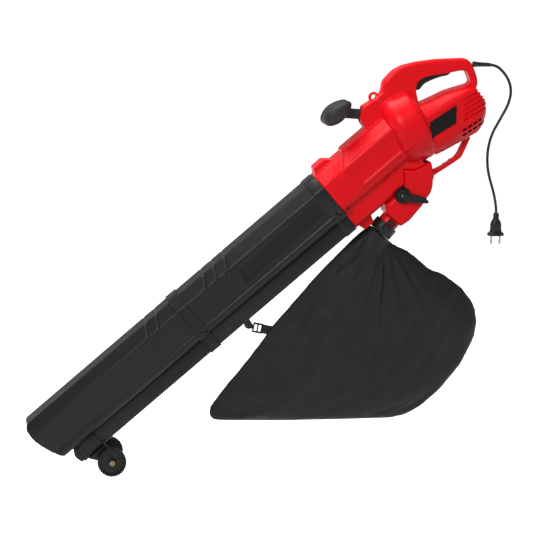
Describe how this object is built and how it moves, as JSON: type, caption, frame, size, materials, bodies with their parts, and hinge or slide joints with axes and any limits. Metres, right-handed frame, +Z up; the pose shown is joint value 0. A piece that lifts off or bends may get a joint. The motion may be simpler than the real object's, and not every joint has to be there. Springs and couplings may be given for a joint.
{
  "type": "leaf blower",
  "caption": "Corded garden blower and vacuum: twin tubes on wheels, red fan and motor housing with rear loop grip, side lever, front grip and hanging fabric bag.",
  "frame": {"origin": "centre of the rear grip, where one hand carries the machine", "axes": "+X horizontal towards the rear, +Y across to the far side, +Z up; the tubes slope down to the front at 40.5 degrees, as the machine is held"},
  "size_m": [1.0471, 0.159, 0.8908],
  "materials": {
    "red_plastic": "satin moulded red plastic",
    "black_plastic": "finely grained black plastic",
    "label": "smooth dark plate, blank",
    "soft_grip": "matt soft-touch",
    "steel": "plain",
    "dark_steel": "blackened",
    "brass": "plain",
    "copper": "wound copper",
    "alloy": "cast",
    "pin_metal": "plated",
    "bag_fabric": "dark woven polyester",
    "webbing": "flat woven webbing",
    "cord_sheath": "smooth black rubber"
  },
  "bodies": {
    "root": {"main_shell_near": "red_plastic", "main_shell_far": "red_plastic", "diverter_housing_near": "red_plastic", "diverter_housing_far": "red_plastic", "label_plate": "label", "suction_tube_lower": "black_plastic", "suction_tube_upper": "black_plastic", "blow_tube_lower": "black_plastic", "blow_tube_upper": "black_plastic", "tube_joint_band": "black_plastic", "tube_collar": "black_plastic", "lever_escutcheon": "black_plastic", "motor_plate": "black_plastic", "bearing_front": "steel", "bearing_rear": "steel", "motor_stator": "steel", "brush_near": "brass", "brush_far": "brass", "trigger_pin": "steel", "trigger_spring": "steel", "power_switch": "black_plastic", "capacitor": "black_plastic", "aux_pivot_bolt": "steel", "wheel_bracket": "black_plastic", "wheel_axle": "steel", "wheel_screw_near": "brass", "wheel_screw_far": "brass", "hook_lug": "black_plastic", "collar_screw": "dark_steel", "band_screw": "dark_steel", "shell_screw": "dark_steel", "cord_guard": "cord_sheath", "power_cord": "cord_sheath", "plug_body": "cord_sheath", "plug_pin_a": "pin_metal", "plug_pin_b": "pin_metal"},
    "rotor": {"rotor_shaft": "steel", "armature_core": "copper", "commutator": "copper", "cooling_fan": "black_plastic", "impeller": "alloy", "impeller_nut": "steel"},
    "trigger": {"trigger": "black_plastic"},
    "changeover": {"changeover_lever": "black_plastic", "flap_shaft": "steel", "changeover_flap": "black_plastic"},
    "aux_handle": {"aux_arm": "black_plastic", "aux_grip": "soft_grip"},
    "wheel_near": {"wheel_near": "black_plastic"},
    "wheel_far": {"wheel_far": "black_plastic"},
    "bag": {"bag_collar": "black_plastic", "bag": "bag_fabric", "bag_strap": "webbing", "strap_buckle": "black_plastic", "bag_hook": "black_plastic"},
    "latch": {"bag_latch": "black_plastic"}
  },
  "joints": [
    {"name": "trigger_pull", "type": "hinge", "parent": "root", "child": "trigger", "pos_m": [0.04652, 0, -0.00366], "axis": [0, 1, 0], "range_deg": [0, 5], "stiffness_Nm_per_rad": 0.4, "springref_deg": -8.59, "deforming": ["trigger_spring"]},
    {"name": "changeover_turn", "type": "hinge", "parent": "root", "child": "changeover", "pos_m": [-0.05536, 0, -0.27085], "axis": [0, 1, 0], "range_deg": [0, 90]},
    {"name": "rotor_spin", "type": "hinge", "parent": "root", "child": "rotor", "pos_m": [-0.0447, 0, -0.13089], "axis": [0.8988, 0, 0.4384], "continuous": true},
    {"name": "wheel_near_spin", "type": "hinge", "parent": "root", "child": "wheel_near", "pos_m": [-0.67853, 0, -0.83925], "axis": [0, 1, 0], "continuous": true},
    {"name": "wheel_far_spin", "type": "hinge", "parent": "root", "child": "wheel_far", "pos_m": [-0.67853, 0, -0.83925], "axis": [0, 1, 0], "continuous": true},
    {"name": "aux_handle_tilt", "type": "hinge", "parent": "root", "child": "aux_handle", "pos_m": [-0.13489, 0, -0.10074], "axis": [0, 1, 0], "range_deg": [-25, 25]},
    {"name": "bag_release", "type": "slide", "parent": "root", "child": "bag", "axis": [-0.6534, 0, -0.757], "range_m": [0, 0.06]},
    {"name": "latch_press", "type": "hinge", "parent": "bag", "child": "latch", "pos_m": [-0.08632, -0.029, -0.34324], "axis": [0.757, 0, -0.6534], "range_deg": [0, 12], "stiffness_Nm_per_rad": 0.05, "springref_deg": -11.46}
  ]
}
